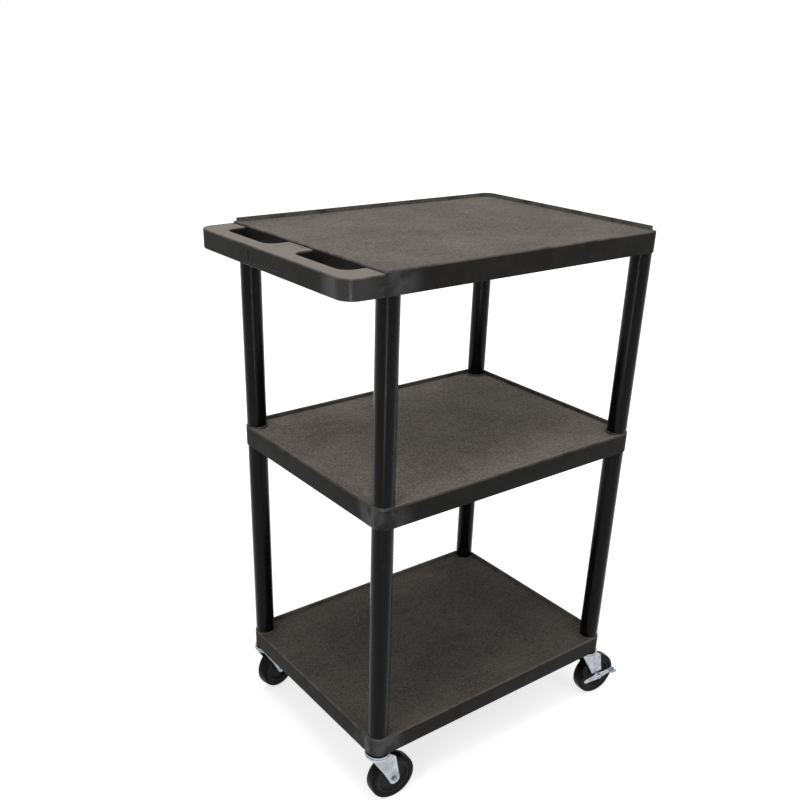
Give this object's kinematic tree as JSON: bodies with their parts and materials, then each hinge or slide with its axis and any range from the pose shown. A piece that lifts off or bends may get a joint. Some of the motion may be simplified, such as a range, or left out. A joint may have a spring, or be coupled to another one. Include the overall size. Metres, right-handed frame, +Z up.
{
  "type": "projector cart",
  "caption": "Tall rolling cart of black moulded plastic: flat shelves on round tube legs, a push handle with finger openings at one end, and swivel casters.",
  "frame": {"origin": "floor point under the middle of the shelves", "axes": "+X away from the push handle, -Y the open front long side, +Y the long side with the raised lip, +Z up"},
  "size_m": [0.981, 0.6417, 1.3715],
  "materials": {
    "deck_plastic": "moulded structural foam, finely pebbled decks, grey-brown black",
    "leg_plastic": "extruded tube, semi-gloss black",
    "zinc_steel": "bright zinc-plated pressed steel",
    "ball_steel": "polished steel",
    "wheel_plastic": "moulded wheel centre, dark brown-grey",
    "tyre_rubber": "smooth hard rubber, slightly glossy black"
  },
  "bodies": {
    "cart": {"top_shelf": "deck_plastic", "middle_shelf": "deck_plastic", "bottom_shelf": "deck_plastic", "upper_leg_front_left": "leg_plastic", "upper_leg_back_left": "leg_plastic", "upper_leg_front_right": "leg_plastic", "upper_leg_back_right": "leg_plastic", "lower_leg_front_left": "leg_plastic", "lower_leg_back_left": "leg_plastic", "lower_leg_front_right": "leg_plastic", "lower_leg_back_right": "leg_plastic", "socket_front_left": "zinc_steel", "socket_back_left": "zinc_steel", "socket_front_right": "zinc_steel", "socket_back_right": "zinc_steel", "stem_front_left": "zinc_steel", "stem_back_left": "zinc_steel", "stem_front_right": "zinc_steel", "stem_back_right": "zinc_steel", "race_front_left": "zinc_steel", "race_back_left": "zinc_steel", "race_front_right": "zinc_steel", "race_back_right": "zinc_steel"},
    "caster_front_left": {"fork_front_left": "zinc_steel", "balls_front_left": "ball_steel", "sleeve_front_left": "ball_steel", "axle_bolt_front_left": "zinc_steel", "axle_nut_front_left": "zinc_steel"},
    "wheel_front_left": {"wheel_core_front_left": "wheel_plastic", "tyre_front_left": "tyre_rubber"},
    "caster_back_left": {"fork_back_left": "zinc_steel", "balls_back_left": "ball_steel", "sleeve_back_left": "ball_steel", "axle_bolt_back_left": "zinc_steel", "axle_nut_back_left": "zinc_steel"},
    "wheel_back_left": {"wheel_core_back_left": "wheel_plastic", "tyre_back_left": "tyre_rubber"},
    "caster_front_right": {"fork_front_right": "zinc_steel", "balls_front_right": "ball_steel", "sleeve_front_right": "ball_steel", "axle_bolt_front_right": "zinc_steel", "axle_nut_front_right": "zinc_steel"},
    "wheel_front_right": {"wheel_core_front_right": "wheel_plastic", "tyre_front_right": "tyre_rubber"},
    "brake_front_right": {"brake_lever_front_right": "zinc_steel", "brake_cam_front_right": "zinc_steel"},
    "caster_back_right": {"fork_back_right": "zinc_steel", "balls_back_right": "ball_steel", "sleeve_back_right": "ball_steel", "axle_bolt_back_right": "zinc_steel", "axle_nut_back_right": "zinc_steel"},
    "wheel_back_right": {"wheel_core_back_right": "wheel_plastic", "tyre_back_right": "tyre_rubber"},
    "brake_back_right": {"brake_lever_back_right": "zinc_steel", "brake_cam_back_right": "zinc_steel"}
  },
  "joints": [
    {"name": "swivel_front_left", "type": "hinge", "parent": "cart", "child": "caster_front_left", "pos_m": [-0.3784, -0.2768, 0.15], "axis": [0, 0, 1], "continuous": true},
    {"name": "roll_front_left", "type": "hinge", "parent": "caster_front_left", "child": "wheel_front_left", "pos_m": [-0.3385, -0.27959, 0.0635], "axis": [0.0698, 0.9976, 0], "continuous": true},
    {"name": "swivel_back_left", "type": "hinge", "parent": "cart", "child": "caster_back_left", "pos_m": [-0.3784, 0.2768, 0.15], "axis": [0, 0, 1], "continuous": true},
    {"name": "roll_back_left", "type": "hinge", "parent": "caster_back_left", "child": "wheel_back_left", "pos_m": [-0.33943, 0.2858, 0.0635], "axis": [-0.225, 0.9744, 0], "continuous": true},
    {"name": "swivel_front_right", "type": "hinge", "parent": "cart", "child": "caster_front_right", "pos_m": [0.3784, -0.2768, 0.15], "axis": [0, 0, 1], "continuous": true},
    {"name": "roll_front_right", "type": "hinge", "parent": "caster_front_right", "child": "wheel_front_right", "pos_m": [0.41818, -0.28098, 0.0635], "axis": [0.1045, 0.9945, 0], "continuous": true},
    {"name": "brake_front_right", "type": "hinge", "parent": "caster_front_right", "child": "brake_front_right", "pos_m": [0.41818, -0.28098, 0.0635], "axis": [0.1045, 0.9945, 0], "range_deg": [0, 15]},
    {"name": "swivel_back_right", "type": "hinge", "parent": "cart", "child": "caster_back_right", "pos_m": [0.3784, 0.2768, 0.15], "axis": [0, 0, 1], "continuous": true},
    {"name": "roll_back_right", "type": "hinge", "parent": "caster_back_right", "child": "wheel_back_right", "pos_m": [0.41818, 0.28098, 0.0635], "axis": [-0.1045, 0.9945, 0], "continuous": true},
    {"name": "brake_back_right", "type": "hinge", "parent": "caster_back_right", "child": "brake_back_right", "pos_m": [0.41818, 0.28098, 0.0635], "axis": [-0.1045, 0.9945, 0], "range_deg": [0, 15]}
  ]
}
